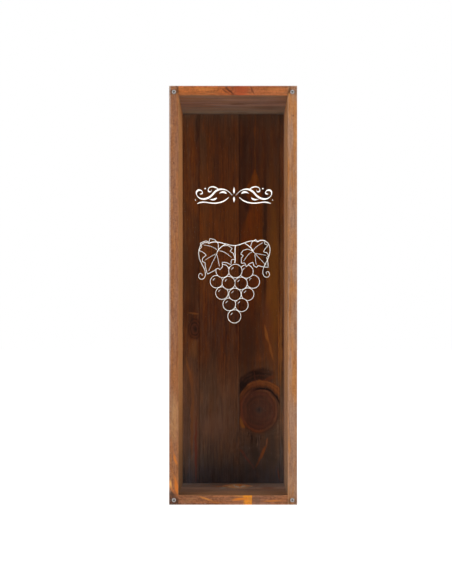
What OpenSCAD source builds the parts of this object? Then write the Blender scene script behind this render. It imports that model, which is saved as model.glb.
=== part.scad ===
// Upright wooden box for one wine bottle.
// Two side boards run the full height and the end boards are nailed between them.
// Tongue and groove staves close the back, let into a rebate in each side board.
// A clear sheet covers the open front and is held by four small screws.
// The box stands on its bottom end: z is up, the cover faces -y, and the origin is under the middle.

/* [Box] */
// Width across both side boards
box_w = 110; // [96:1:140]
// Height of the side boards
box_h = 360; // [300:1:420]
// Depth of the side boards, behind the cover
side_d = 106; // [86:1:130]
// Thickness of a side board
side_t = 8; // [7:0.5:12]
// Thickness of the top and bottom boards
end_t = 8; // [7:0.5:12]
// Chamfer sanded on the outer edges of the side boards
arris = 0.5; // [0.2:0.1:1.5]

/* [Back staves] */
// Thickness of a stave, which is also the depth of the rebate
stave_t = 7; // [6:0.5:10]
// Width of the rebate in each side board
rebate_w = 4; // [3:0.5:5]
// Gap for the wood to swell at each side of the panel
panel_gap = 0.25; // [0.1:0.05:0.6]
// Width of the trimmed stave at the left
first_stave_w = 19.1; // [14:0.1:26]
// Width of the trimmed stave at the right
last_stave_w = 7.4; // [7:0.1:14]
// Thickness of a tongue
tongue_t = 2.4; // [2:0.1:3]
// How far a tongue stands out of its stave
tongue_l = 2.4; // [1.6:0.1:2.8]
// Gap between a tongue and each side of its groove
tongue_play = 0.05; // [0.02:0.01:0.1]
// Gap between the tip of a tongue and the bottom of its groove
tongue_gap = 0.4; // [0.2:0.1:0.8]
// Chamfer on the front and back corners of each seam
seam_arris = 0.3; // [0.1:0.1:0.8]

/* [Clear cover] */
// Thickness of the cover
cover_t = 3; // [2:0.5:5]
// Bevel around the front of the cover
cover_bevel = 0.9; // [0.3:0.1:1.5]
// Gap between a screw and the side of its hole in the cover
cover_hole_play = 0.1; // [0.05:0.01:0.1]

/* [Cover screws] */
// Thread diameter
screw_d = 2.2; // [1.8:0.1:2.4]
// Length under the head
screw_l = 13; // [9.5:0.5:16]
// Length of the point
screw_point_l = 2.4; // [1.5:0.1:3]
// Diameter of the pan head
screw_head_d = 3.8; // [3.6:0.1:4.4]
// Height of the pan head
screw_head_h = 1.6; // [1.3:0.1:1.8]
// Height of the straight rim below the crown of the head
screw_rim_h = 0.55; // [0.4:0.05:0.8]
// Gap between a screw and the side of its pilot hole
pilot_play = 0.05; // [0.02:0.01:0.1]
// Spare depth of a pilot hole past the point
pilot_spare = 1; // [0.5:0.5:3]
// Distance from the side of the box to a screw
screw_from_side = 4.2; // [3.6:0.1:5]
// Distance from the top of the box to the upper screws
screw_from_top = 5.5; // [4:0.1:8]
// Distance from the bottom of the box to the lower screws
screw_from_bottom = 4.2; // [3.5:0.1:8]

/* [Cross recess] */
// Width across the cross at the top of the head
recess_w = 2; // [1.6:0.1:2.2]
// Width across the cross at its bottom
recess_foot_w = 1; // [0.6:0.1:1.2]
// Width of each slot of the cross
recess_slot_w = 0.55; // [0.4:0.05:0.7]
// Depth of the cross
recess_h = 0.95; // [0.7:0.05:1.1]

/* [Corner nails] */
// Diameter of a corner nail
nail_d = 1.4; // [1.2:0.1:1.8]
// Length of a corner nail
nail_l = 25; // [20:1:30]
// Diameter of its flat head
nail_head_d = 2.8; // [2.4:0.1:3.2]
// Thickness of its head
nail_head_h = 0.7; // [0.5:0.1:1]
// Corner nails in each joint
nails_per_corner = 3; // [2:1:4]
// Distance from the edges of an end board to the first and last of its nails
nail_inset = 18; // [16:1:24]

/* [Back pins] */
// Diameter of a panel pin
pin_d = 1.2; // [1:0.1:1.4]
// Length of a panel pin
pin_l = 20; // [15:1:22]
// Diameter of its head
pin_head_d = 2; // [1.8:0.1:2.4]
// Thickness of its head
pin_head_h = 0.6; // [0.4:0.1:0.8]
// Pins down each edge of the back
pins_per_edge = 5; // [3:1:7]
// Distance from the ends of the box to the first and last pin of an edge
pin_inset = 25; // [20:1:45]

/* [Nail seats] */
// Length of a nail's or a pin's point
nail_point_l = 2; // [1.5:0.5:3]
// Gap between a nail or pin and its hole
nail_play = 0.02; // [0.01:0.01:0.05]
// How far a nail or pin head is driven below the surface
nail_sink = 0.1; // [0:0.05:0.5]

/* [Hidden] */
$fn = 48;

// Overlap that carries a cut past the face it opens
over = 1;

// Places along y, from the front to the back
box_back = (side_d + cover_t + screw_head_h) / 2;
box_front = box_back - side_d;
cover_front = box_front - cover_t;
panel_front = box_back - stave_t;
end_d = side_d - stave_t;

// Places along x, from the middle to the right
box_right = box_w / 2;
inner_right = box_right - side_t;
rebate_right = inner_right + rebate_w;
panel_right = rebate_right - panel_gap;
edge_pin_x = inner_right + rebate_w / 2;
screw_x = box_right - screw_from_side;

// The two whole staves share what the trimmed ones leave of the panel
whole_stave_w = (2 * panel_right - first_stave_w - last_stave_w) / 2;
seam_x = [
    -panel_right,
    first_stave_w - panel_right,
    first_stave_w + whole_stave_w - panel_right,
    panel_right - last_stave_w,
    panel_right
];
last_stave = len(seam_x) - 2;
groove_w = tongue_t + 2 * tongue_play;
groove_l = tongue_l + tongue_gap;

// The crown of a screw head is part of a ball that meets the rim
crown_h = screw_head_h - screw_rim_h;
crown_r = (pow(screw_head_d / 2, 2) + pow(crown_h, 2)) / (2 * crown_h);

walnut_stain = "#9b6a47";
dark_stain = "#54301d";
clear_acrylic = [0.86, 0.92, 0.93, 0.3];
bright_zinc = "#c9ccd0";
nail_steel = "#8d8f92";

// Heights of the end boards' middles, where their nails go in
function end_heights() = [end_t / 2, box_h - end_t / 2];

// Values spread evenly from low to high
function spread(low, high, count) = [for (i = [0 : count - 1]) low + i * (high - low) / (count - 1)];

function nail_depths() = spread(box_front + nail_inset, panel_front - nail_inset, nails_per_corner);

function pin_heights() = spread(pin_inset, box_h - pin_inset, pins_per_edge);

// Middle of a whole stave
function stave_middle(i) = (seam_x[i] + seam_x[i + 1]) / 2;

// Chamfered plan of the right-hand side board, with the rebate for the back
module side_plan() {
    polygon([
        [inner_right, box_front],
        [box_right - arris, box_front],
        [box_right, box_front + arris],
        [box_right, box_back - arris],
        [box_right - arris, box_back],
        [rebate_right, box_back],
        [rebate_right, panel_front],
        [inner_right, panel_front]
    ]);
}

// Front outline of the right-hand side board, drawn with height as its second axis
module side_front() {
    polygon([
        [inner_right - over, 0],
        [box_right - arris, 0],
        [box_right, arris],
        [box_right, box_h - arris],
        [box_right - arris, box_h],
        [inner_right - over, box_h]
    ]);
}

// Nail drawn along z with its head's top at z = 0, or its hole, wider by play and open at the head
module nail_shape(d, l, head_d, head_h, play) {
    shank_l = l - nail_point_l;
    translate([0, 0, -over * sign(play)]) {
        cylinder(d = head_d + 2 * play, h = head_h + over * sign(play));
    }
    cylinder(d = d + 2 * play, h = shank_l);
    translate([0, 0, shank_l]) cylinder(d1 = d + 2 * play, d2 = d / 4, h = nail_point_l + play);
}

module corner_nail(play = 0) {
    nail_shape(nail_d, nail_l, nail_head_d, nail_head_h, play);
}

module back_pin(play = 0) {
    nail_shape(pin_d, pin_l, pin_head_d, pin_head_h, play);
}

// Puts a nail at each of the places where the right-hand side board is nailed to the ends
module at_corner_nails() {
    for (z = end_heights(), y = nail_depths()) {
        translate([box_right - nail_sink, y, z]) rotate([0, -90, 0]) children();
    }
}

// Puts a pin at each of the places down the right-hand edge of the back
module at_edge_pins() {
    for (z = pin_heights()) {
        translate([edge_pin_x, box_back - nail_sink, z]) rotate([90, 0, 0]) children();
    }
}

// Puts a pin where each whole stave crosses the end boards
module at_end_pins() {
    for (z = end_heights(), i = [1 : last_stave - 1]) {
        translate([stave_middle(i), box_back - nail_sink, z]) rotate([90, 0, 0]) children();
    }
}

// Turns and moves a screw drawn point up to the right-hand side, at height z
module at_screw(z) {
    translate([screw_x, cover_front, z]) rotate([-90, 0, 0]) children();
}

module pilot_hole() {
    hole_l = screw_l - screw_point_l + pilot_spare;
    cylinder(r = screw_d / 2 + pilot_play, h = hole_l);
    translate([0, 0, hole_l]) cylinder(r1 = screw_d / 2 + pilot_play, r2 = 0, h = screw_point_l);
}

module side_board() {
    difference() {
        intersection() {
            linear_extrude(height = box_h) side_plan();
            translate([0, box_back + over, 0]) rotate([90, 0, 0]) {
                linear_extrude(height = side_d + 2 * over) side_front();
            }
        }
        at_screw(box_h - screw_from_top) pilot_hole();
        at_screw(screw_from_bottom) pilot_hole();
        at_corner_nails() corner_nail(nail_play);
        at_edge_pins() back_pin(nail_play);
    }
}

module right_side() {
    color(walnut_stain) side_board();
}

module left_side() {
    color(walnut_stain) mirror([1, 0, 0]) side_board();
}

// End board between the side boards, with its underside at height z
module end_board(z) {
    color(walnut_stain) difference() {
        translate([-inner_right, box_front, z]) cube([2 * inner_right, end_d, end_t]);
        at_corner_nails() corner_nail(nail_play);
        mirror([1, 0, 0]) at_corner_nails() corner_nail(nail_play);
        at_end_pins() back_pin(nail_play);
    }
}

module top_end() {
    end_board(box_h - end_t);
}

module bottom_end() {
    end_board(0);
}

// Chamfered strip between two seams, whose outermost edges stay square
module stave_strip(i) {
    left = seam_x[i];
    right = seam_x[i + 1];
    left_arris = i > 0 ? seam_arris : 0;
    right_arris = i < last_stave ? seam_arris : 0;
    polygon([
        [left + left_arris, panel_front],
        [right - right_arris, panel_front],
        [right, panel_front + right_arris],
        [right, box_back - right_arris],
        [right - right_arris, box_back],
        [left + left_arris, box_back],
        [left, box_back - left_arris],
        [left, panel_front + left_arris]
    ]);
}

// Plan of a stave: a tongue on the right edge and a groove in the left one, where it has a neighbour
module stave_plan(i) {
    middle_y = panel_front + stave_t / 2;
    difference() {
        stave_strip(i);
        if (i > 0) {
            translate([seam_x[i] - over, middle_y - groove_w / 2]) square([groove_l + over, groove_w]);
        }
    }
    if (i < last_stave) {
        translate([seam_x[i + 1] - over, middle_y - tongue_t / 2]) square([tongue_l + over, tongue_t]);
    }
}

// Stave from its seams, with the holes of the pins that fall in it
module back_stave(i) {
    color(dark_stain) difference() {
        linear_extrude(height = box_h) stave_plan(i);
        if (i == 0) mirror([1, 0, 0]) at_edge_pins() back_pin(nail_play);
        if (i == last_stave) at_edge_pins() back_pin(nail_play);
        at_end_pins() back_pin(nail_play);
    }
}

module left_stave() {
    back_stave(0);
}

module mid_left_stave() {
    back_stave(1);
}

module mid_right_stave() {
    back_stave(2);
}

module right_stave() {
    back_stave(3);
}

// Sheet bevelled around its front, flush with the outside of the box
module cover_sheet() {
    cover_back = cover_front + cover_t;
    shoulder = cover_front + cover_bevel;
    flat_right = box_right - cover_bevel;
    intersection() {
        linear_extrude(height = box_h) polygon([
            [-flat_right, cover_front],
            [flat_right, cover_front],
            [box_right, shoulder],
            [box_right, cover_back],
            [-box_right, cover_back],
            [-box_right, shoulder]
        ]);
        translate([-box_right - over, 0, 0]) rotate([90, 0, 90]) {
            linear_extrude(height = box_w + 2 * over) polygon([
                [cover_front, cover_bevel],
                [shoulder, 0],
                [cover_back, 0],
                [cover_back, box_h],
                [shoulder, box_h],
                [cover_front, box_h - cover_bevel]
            ]);
        }
    }
}

module cover_hole() {
    translate([0, 0, -over]) cylinder(r = screw_d / 2 + cover_hole_play, h = cover_t + 2 * over);
}

module front_cover() {
    color(clear_acrylic) difference() {
        cover_sheet();
        for (side = [0, 1], z = [screw_from_bottom, box_h - screw_from_top]) {
            mirror([side, 0, 0]) at_screw(z) cover_hole();
        }
    }
}

// One slot of the cross, tapering from the top of the head to its foot
module recess_slot() {
    rotate([90, 0, 0]) translate([0, 0, -recess_slot_w / 2]) linear_extrude(height = recess_slot_w) {
        polygon([
            [-recess_w / 2, -screw_head_h - over],
            [recess_w / 2, -screw_head_h - over],
            [recess_w / 2, -screw_head_h],
            [recess_foot_w / 2, recess_h - screw_head_h],
            [-recess_foot_w / 2, recess_h - screw_head_h],
            [-recess_w / 2, -screw_head_h]
        ]);
    }
}

// Pan-head screw with its head below z = 0 and its point up
module screw() {
    shank_l = screw_l - screw_point_l;
    difference() {
        intersection() {
            translate([0, 0, -screw_head_h]) cylinder(d = screw_head_d, h = screw_head_h);
            translate([0, 0, crown_r - screw_head_h]) sphere(r = crown_r);
        }
        recess_slot();
        rotate([0, 0, 90]) recess_slot();
    }
    cylinder(d = screw_d, h = shank_l);
    translate([0, 0, shank_l]) cylinder(d1 = screw_d, d2 = 0, h = screw_point_l);
}

module screw_top_right() {
    color(bright_zinc) at_screw(box_h - screw_from_top) screw();
}

module screw_top_left() {
    color(bright_zinc) mirror([1, 0, 0]) at_screw(box_h - screw_from_top) screw();
}

module screw_bottom_right() {
    color(bright_zinc) at_screw(screw_from_bottom) screw();
}

module screw_bottom_left() {
    color(bright_zinc) mirror([1, 0, 0]) at_screw(screw_from_bottom) screw();
}

module right_side_nails() {
    color(nail_steel) at_corner_nails() corner_nail();
}

module left_side_nails() {
    color(nail_steel) mirror([1, 0, 0]) at_corner_nails() corner_nail();
}

module back_pins() {
    color(nail_steel) {
        at_edge_pins() back_pin();
        mirror([1, 0, 0]) at_edge_pins() back_pin();
        at_end_pins() back_pin();
    }
}

left_side();
right_side();
top_end();
bottom_end();
left_stave();
mid_left_stave();
mid_right_stave();
right_stave();
front_cover();
screw_top_left();
screw_top_right();
screw_bottom_left();
screw_bottom_right();
left_side_nails();
right_side_nails();
back_pins();
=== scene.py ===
"""Upright stained pine box for one wine bottle, with a printed clear cover, on a white table."""
import bpy
import math
import random
from mathutils import Matrix, Vector


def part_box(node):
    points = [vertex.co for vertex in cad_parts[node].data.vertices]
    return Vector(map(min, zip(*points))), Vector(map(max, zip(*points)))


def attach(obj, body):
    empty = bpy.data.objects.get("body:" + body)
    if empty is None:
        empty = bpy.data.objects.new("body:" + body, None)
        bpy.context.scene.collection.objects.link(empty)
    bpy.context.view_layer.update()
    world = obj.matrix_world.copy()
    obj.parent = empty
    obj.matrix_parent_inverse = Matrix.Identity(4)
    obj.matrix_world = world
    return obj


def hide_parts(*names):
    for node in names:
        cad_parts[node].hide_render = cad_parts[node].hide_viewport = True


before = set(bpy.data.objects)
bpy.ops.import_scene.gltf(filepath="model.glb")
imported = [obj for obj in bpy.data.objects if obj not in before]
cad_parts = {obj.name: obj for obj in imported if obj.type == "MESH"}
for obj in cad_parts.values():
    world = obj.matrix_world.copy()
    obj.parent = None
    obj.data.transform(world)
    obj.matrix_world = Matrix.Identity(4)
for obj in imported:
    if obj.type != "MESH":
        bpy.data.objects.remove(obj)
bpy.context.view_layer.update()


# Side boards: two boards of 8 mm pine, sawn along the grain, stained walnut brown and sanded on
# the edges. They run the full height and the end boards are nailed between them.

# Planes of the box in mm: the boards' front edges, the front of the back, the sides' inner faces, and
# the floor and ceiling
front_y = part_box("left_side")[0].y * 1000
back_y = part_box("mid_left_stave")[0].y * 1000
inside_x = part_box("top_end")[1].x * 1000
floor_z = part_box("bottom_end")[1].z * 1000
ceiling_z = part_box("top_end")[0].z * 1000


def linear(code):
    """sRGB hex colour as linear red, green, blue and an alpha of 1."""
    parts = [int(code[i:i + 2], 16) / 255 for i in (1, 3, 5)]
    return tuple(p / 12.92 if p <= 0.04045 else ((p + 0.055) / 1.055) ** 2.4 for p in parts) + (1.0,)


def put(tree, kind, inputs=None, stops=(), **settings):
    """Adds a node. An input is a value or the output that feeds it. Stops are those of a colour ramp,
    each (place, hex colour, alpha)."""
    node = tree.nodes.new(kind)
    for key, value in settings.items():
        setattr(node, key, value)
    for key, value in (inputs or {}).items():
        if isinstance(value, bpy.types.NodeSocket):
            tree.links.new(value, node.inputs[key])
        else:
            node.inputs[key].default_value = value
    for i, (place, code, alpha) in enumerate(stops):
        elements = node.color_ramp.elements
        element = elements[i] if i < len(elements) else elements.new(1.0)
        element.position = place
        element.color = linear(code)[:3] + (alpha,)
    return node


def empty_material(name):
    """A new material and its node tree, without nodes."""
    material = bpy.data.materials.new(name)
    material.use_nodes = True
    material.node_tree.nodes.clear()
    return material, material.node_tree


def times(board, *factors):
    """Product of several masks."""
    product = factors[0]
    for factor in factors[1:]:
        product = put(board["tree"], "ShaderNodeMath", {0: product, 1: factor},
                      operation="MULTIPLY").outputs[0]
    return product


def near(board, axis, none, full):
    """Mask along x, y or z (0, 1 or 2): 0 at the first place in mm, 1 at the second."""
    return put(board["tree"], "ShaderNodeMapRange", {0: board["place"][axis], 1: none, 2: full}).outputs[0]


def over(board, factor, colour):
    """Lays a colour over what the board's shader shows so far."""
    base = board["shader"].inputs["Base Color"]
    under = base.links[0].from_socket
    mixed = put(board["tree"], "ShaderNodeMix", {0: factor, 6: under, 7: colour}, data_type="RGBA")
    board["tree"].links.new(mixed.outputs[2], base)


# Pine under a walnut stain is matt and its grain stands up a little. The soft early wood soaks up more
# of the stain than the hard late wood, so that the rings show as paler lines.
def pine(name, pith, rings, warm, cool, seed, along="Z", slope=0.0, wander=5.0, gains=(0.5, 0.8, 0.6, 0.8),
         knots=()):
    """Stained pine for one board, lengths in mm. The growth rings lie round a pith axis along the grain,
    sway with it, and swell round each knot (x, z, half width, half height, lift of the rings). The
    gains are how strongly the rings, the fibre, the bands of stain and the front edge's specks show."""
    # Sizes of the wobble, of the runs of good and poor years and of the specks; how far torn edges
    # stray and how unevenly the rings lie; and where the sanded front edge gives way to the stain
    wobble_size, years_size, speck_size = 9.1, 4.35, 1.25
    fray, unevenness = 1.5, 2.6
    sanded, unsanded = front_y + 0.1, front_y + 0.4
    material, tree = empty_material(name)
    coord = put(tree, "ShaderNodeTexCoord")
    mm = put(tree, "ShaderNodeMapping", {
        "Vector": coord.outputs["Object"], "Scale": (1000, 1000, 1000)}).outputs[0]
    place = put(tree, "ShaderNodeSeparateXYZ", {0: mm}).outputs

    # The same place, turned so that the grain runs along its z
    order = (0, 1, 2) if along == "Z" else (2, 1, 0)
    lie = put(tree, "ShaderNodeCombineXYZ", {i: place[order[i]] for i in range(3)}).outputs[0]

    def pattern(across, length, detail, number):
        """Noise drawn out along the grain, with features of about those sizes."""
        shift = (seed + 3.1 * number, 1.7 * seed - number, 0.6 * seed + number)
        shrunk = put(tree, "ShaderNodeMapping", {
            "Vector": lie, "Location": shift, "Scale": (1 / across, 1 / across, 1 / length)})
        return put(tree, "ShaderNodeTexNoise", {
            "Vector": shrunk.outputs[0], "Scale": 1.0, "Detail": detail, "Roughness": 0.6}).outputs

    # Distance of each point from the swaying pith axis
    sway = put(tree, "ShaderNodeVectorMath", {
        0: pattern(45, 230, 2, 1)[1],
        1: (2 * wander, 2 * wander, 0),
        2: (-pith[0] - wander, -pith[1] - wander, 0)}, operation="MULTIPLY_ADD").outputs[0]
    bent = put(tree, "ShaderNodeVectorMath", {0: lie, 1: sway}, operation="ADD").outputs[0]
    flat = put(tree, "ShaderNodeVectorMath", {0: bent, 1: (1, 1, 0)}, operation="MULTIPLY").outputs[0]
    radius = put(tree, "ShaderNodeVectorMath", {0: flat}, operation="LENGTH").outputs[1]
    radius = put(tree, "ShaderNodeMath", {0: place[order[2]], 1: slope, 2: radius},
                 operation="MULTIPLY_ADD").outputs[0]

    # The same place with a ragged shift, so that knots and stains get torn edges
    wobble = put(tree, "ShaderNodeTexNoise", {"Vector": mm, "Scale": 1 / wobble_size, "Detail": 2}).outputs[1]
    ragged = put(tree, "ShaderNodeVectorMath", {
        0: wobble, 1: (2 * fray, 2 * fray, 2 * fray), 2: (-fray, -fray, -fray)},
        operation="MULTIPLY_ADD").outputs[0]
    ragged = put(tree, "ShaderNodeVectorMath", {0: mm, 1: ragged}, operation="ADD").outputs[0]
    reaches = []
    for x, z, half_w, half_h, lift in knots:
        reach = put(tree, "ShaderNodeMapping", {
            "Vector": ragged, "Location": (x, 0, z), "Scale": (half_w, 1e6, half_h)},
            vector_type="TEXTURE").outputs[0]
        reaches.append(reach)
        away = put(tree, "ShaderNodeVectorMath", {0: reach}, operation="LENGTH").outputs[1]
        square = put(tree, "ShaderNodeMath", {0: away, 1: 2.0}, operation="POWER").outputs[0]
        square = put(tree, "ShaderNodeMath", {0: square, 1: -0.4}, operation="MULTIPLY").outputs[0]
        swell = put(tree, "ShaderNodeMath", {0: square}, operation="EXPONENT").outputs[0]
        radius = put(tree, "ShaderNodeMath", {0: swell, 1: lift, 2: radius},
                     operation="MULTIPLY_ADD").outputs[0]

    # Rings: each goes slowly from dark early wood to paler late wood and stops at once. They show less
    # on the sanded front edge, which is speckled instead.
    uneven = put(tree, "ShaderNodeTexNoise", {"W": radius, "Scale": 1 / wobble_size, "Detail": 1},
                 noise_dimensions="1D").outputs[0]
    phase = put(tree, "ShaderNodeMath", {0: radius, 1: 1 / rings}, operation="MULTIPLY").outputs[0]
    phase = put(tree, "ShaderNodeMath", {0: uneven, 1: unevenness, 2: phase},
                operation="MULTIPLY_ADD").outputs[0]
    part = put(tree, "ShaderNodeMath", {0: phase}, operation="FRACT").outputs[0]
    rise = put(tree, "ShaderNodeMapRange", {0: part, 1: 0.2, 2: 0.88},
               interpolation_type="SMOOTHSTEP").outputs[0]
    fall = put(tree, "ShaderNodeMapRange", {0: part, 1: 1.0, 2: 0.92},
               interpolation_type="SMOOTHSTEP").outputs[0]
    late = put(tree, "ShaderNodeMath", {0: rise, 1: fall}, operation="MULTIPLY").outputs[0]
    years = put(tree, "ShaderNodeTexNoise", {"W": radius, "Scale": 1 / years_size, "Detail": 2},
                noise_dimensions="1D").outputs[0]
    years = put(tree, "ShaderNodeMapRange", {0: years, 1: 0.36, 2: 0.62, 3: 0.2}).outputs[0]
    late = put(tree, "ShaderNodeMath", {0: late, 1: years}, operation="MULTIPLY").outputs[0]
    edge = put(tree, "ShaderNodeMapRange", {0: place[1], 1: unsanded, 2: sanded}).outputs[0]
    rest = put(tree, "ShaderNodeMapRange", {0: place[1], 1: sanded, 2: unsanded, 3: 0.2}).outputs[0]
    shown = put(tree, "ShaderNodeMath", {0: late, 1: rest}, operation="MULTIPLY").outputs[0]
    fibre = pattern(1.2, 15, 3, 2)[0]
    pores = pattern(0.8, 5, 2, 6)[0]
    bands = pattern(3.0, 80, 2, 3)[0]
    cloud = pattern(14, 70, 2, 4)[0]
    speck = put(tree, "ShaderNodeTexNoise", {"Vector": mm, "Scale": 1 / speck_size, "Detail": 2}).outputs[0]
    speckled = put(tree, "ShaderNodeMapRange", {0: edge, 3: 0.12, 4: gains[3]}).outputs[0]

    # Tone: how light the stained wood comes out, about 0.5 on the whole
    tone = put(tree, "ShaderNodeMath", {0: shown, 1: gains[0], 2: 0.5 - 0.4 * gains[0]},
               operation="MULTIPLY_ADD").outputs[0]
    shares = ((fibre, gains[1]), (bands, gains[2]), (cloud, 0.6 * gains[2]), (speck, speckled), (pores, 0.35))
    for noise, gain in shares:
        centred = put(tree, "ShaderNodeMath", {0: noise, 1: 0.5}, operation="SUBTRACT").outputs[0]
        tone = put(tree, "ShaderNodeMath", {0: centred, 1: gain, 2: tone},
                   operation="MULTIPLY_ADD").outputs[0]
    places = (0.2, 0.42, 0.6, 0.82)
    warmth, coolness = (
        put(tree, "ShaderNodeValToRGB", {0: tone}, [(p, c, 1) for p, c in zip(places, colours)]).outputs[0]
        for colours in (warm, cool))
    hue = put(tree, "ShaderNodeMapRange", {0: pattern(4, 35, 3, 5)[0], 1: 0.4, 2: 0.6}).outputs[0]
    stained = put(tree, "ShaderNodeMix", {0: hue, 6: coolness, 7: warmth}, data_type="RGBA").outputs[2]

    # Raised grain
    rough = put(tree, "ShaderNodeMapRange", {0: fibre, 1: 0.3, 2: 0.7, 3: 0.5, 4: 0.72}).outputs[0]
    height = put(tree, "ShaderNodeMath", {0: late, 1: 0.35, 2: fibre}, operation="MULTIPLY_ADD").outputs[0]
    bump = put(tree, "ShaderNodeBump", {"Strength": 0.5, "Distance": 0.00012, "Height": height}).outputs[0]
    shader = put(tree, "ShaderNodeBsdfPrincipled", {
        "Base Color": stained, "Roughness": rough, "Normal": bump, "Specular IOR Level": 0.2})
    put(tree, "ShaderNodeOutputMaterial", {0: shader.outputs[0]})
    return {"material": material, "tree": tree, "shader": shader, "place": place, "ragged": ragged,
            "reaches": reaches, "hue": hue, "fibre": fibre, "tone": tone, "edge": edge}


def figured(board, colour, darkest, lightest, figure):
    """A colour with the board's own pattern in it: a share darker at the darkest of two tones, and a
    share lighter at the lightest."""
    shade = put(board["tree"], "ShaderNodeMapRange", {
        0: board["tone"], 1: darkest, 2: lightest, 3: 1 - figure, 4: 1 + figure}).outputs[0]
    return put(board["tree"], "ShaderNodeVectorMath", {0: colour, "Scale": shade},
               operation="SCALE").outputs[0]


def wash(board, axis, start, end, *stops, figure=0.4, only=None):
    """Lays a stain that changes along x, y or z between two places in mm. Stops are (share of the
    way, colour, cover) and figure is how much of the board's own pattern comes through."""
    tree = board["tree"]
    ramp = put(tree, "ShaderNodeValToRGB", {0: near(board, axis, start, end)}, stops).outputs
    colour = figured(board, ramp[0], 0.2, 0.8, figure)
    tint = put(tree, "ShaderNodeMix", {0: board["hue"], 4: (0.93, 1.0, 1.12), 5: (1.06, 0.99, 0.9)},
               data_type="VECTOR").outputs[1]
    colour = put(tree, "ShaderNodeVectorMath", {0: colour, 1: tint}, operation="MULTIPLY").outputs[0]
    over(board, times(board, ramp[1], only) if only else ramp[1], colour)


def streaks(board, *rows, lying=False, only=None):
    """Soft streaks of other colours: (x, z, half width, half length, lean, colour, strength). A streak leans
    that many degrees to the right at its top. On a lying face it is placed by x and y. The fibre tears
    it, down to 0.55 of its strength or to an eighth value of its row."""
    tree = board["tree"]
    for x, z, half_w, half_l, lean, code, strength, *least in rows:
        spot = put(tree, "ShaderNodeMapping", {
            "Vector": board["ragged"],
            "Location": (x, z, 0) if lying else (x, 0, z),
            "Rotation": (0, 0, -math.radians(lean)) if lying else (0, math.radians(lean), 0),
            "Scale": (half_w, half_l, 1e6) if lying else (half_w, 1e6, half_l)},
            vector_type="TEXTURE").outputs[0]
        within = put(tree, "ShaderNodeTexGradient", {0: spot}, gradient_type="SPHERICAL").outputs[1]
        soft = put(tree, "ShaderNodeMapRange", {0: within, 1: 0.0, 2: 0.55, 4: strength}).outputs[0]
        torn = put(tree, "ShaderNodeMapRange", {
            0: board["fibre"], 1: 0.3, 2: 0.55, 3: least[0] if least else 0.55}).outputs[0]
        over(board, times(board, soft, torn, only) if only else times(board, soft, torn), linear(code))


def wear(node, board):
    """Gives a CAD part its material."""
    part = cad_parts[node]
    part.data.materials.clear()
    part.data.materials.append(board["material"])


left_board = pine("stained_pine_left_side", pith=(-95, 30), rings=3.2, seed=2.0, slope=0.015, wander=4,
                  warm=("#754427", "#935b38", "#a66c40", "#bf8450"),
                  cool=("#6f4531", "#8e5d43", "#9f6e4a", "#b78359"),
                  gains=(0.25, 0.5, 0.15, 0.5))
streaks(left_board, (-48.3, 357.5, 1.4, 3.6, 0, "#5d3a28", 0.7),
        (-52.5, 10.0, 2.6, 3.0, -50, "#4f3a2e", 0.9), (-53.9, 18, 1.4, 6, -12, "#dc9a58", 0.95),
        (-51.2, 11.5, 1.2, 6.5, -32, "#b5683c", 0.8), (-48.9, 15.5, 1.6, 11, -10, "#c66c2b", 1.0),
        (-51.6, 26, 1.1, 8, -14, "#a8683a", 0.6), (-49.7, 39, 1.4, 6.5, -14, "#c4702f", 0.95),
        (-52.2, 50, 1.0, 9, -8, "#a9643a", 0.6), (-51, 75, 5, 26, 0, "#bd8f64", 0.4),
        (-52.3, 72, 0.5, 7, -27, "#7d5234", 0.6), (-51.0, 60, 0.5, 6, -27, "#7d5234", 0.6),
        (-50.2, 85, 0.4, 6, -25, "#84593a", 0.5), (-51.5, 3.0, 7.0, 9.5, 0, "#583d33", 0.95),
        (-51.2, 294, 0.8, 1.0, 0, "#4a2a1c", 0.8), only=left_board["edge"])

# A pale line is painted along its outer arris, but for the foot: a painted highlight of the cover's bevelled
# edge
arris_highlight = times(left_board, near(left_board, 0, -53.4, -54.3), near(left_board, 2, 80, 140), left_board["edge"])
over(left_board, arris_highlight, linear("#b09a8c"))

# The inner face is painted lighter from front to back, a painted light, and darker towards the floor, a
# painted shade
left_wall = times(left_board, near(left_board, 0, -inside_x - 0.7, -inside_x - 0.3),
                  near(left_board, 1, front_y + 0.1, front_y + 0.5))
wash(left_board, 1, front_y, back_y, (0.0, "#cf965c", 0.8), (0.5, "#dd9b62", 0.8), (0.85, "#d89a63", 0.8),
     (1.0, "#c58e5b", 0.8), only=left_wall)
wash(left_board, 2, floor_z, 110, (0.0, "#564130", 0.8), (0.25, "#61462f", 0.65), (0.7, "#a8703f", 0.5),
     (1.0, "#b9804a", 0.0), only=left_wall)
wear("left_side", left_board)

right_board = pine("stained_pine_right_side", pith=(88, -20), rings=3.0, seed=9.0, slope=-0.01, wander=4,
                   warm=("#844f2b", "#a66c3d", "#b87d4c", "#ce955d"),
                   cool=("#7a5745", "#9b7259", "#ad8166", "#c09474"),
                   gains=(0.3, 0.6, 0.25, 0.4))
streaks(right_board, (51.9, 334, 0.9, 1.1, 0, "#563222", 0.8), (48.4, 357.2, 1.7, 4.0, 0, "#5a3828", 0.85),
        (52.5, 358, 4.5, 3.0, 0, "#8a5a3e", 0.6), only=right_board["edge"])
# A pale line is painted along its outer arris: a painted highlight of the cover's bevelled edge
over(right_board, times(right_board, near(right_board, 0, 54.2, 54.9), right_board["edge"]),
     linear("#cdaa88"))
# The inner face is painted lighter from front to back, a painted light, and greyer and darker towards the
# floor, a painted shade
right_wall = times(right_board, near(right_board, 0, inside_x + 0.7, inside_x + 0.3),
                   near(right_board, 1, front_y + 0.1, front_y + 0.5))
wash(right_board, 1, front_y, back_y, (0.0, "#bb8759", 0.75), (0.5, "#ca9365", 0.8), (0.8, "#c69774", 0.8),
     (1.0, "#aa806a", 0.8), only=right_wall)
wash(right_board, 2, floor_z, 100, (0.0, "#7f6d5f", 0.7), (0.25, "#987b69", 0.5), (0.7, "#b38e7c", 0.4),
     (1.0, "#b38e7c", 0.0), only=right_wall)
wear("right_side", right_board)


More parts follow.
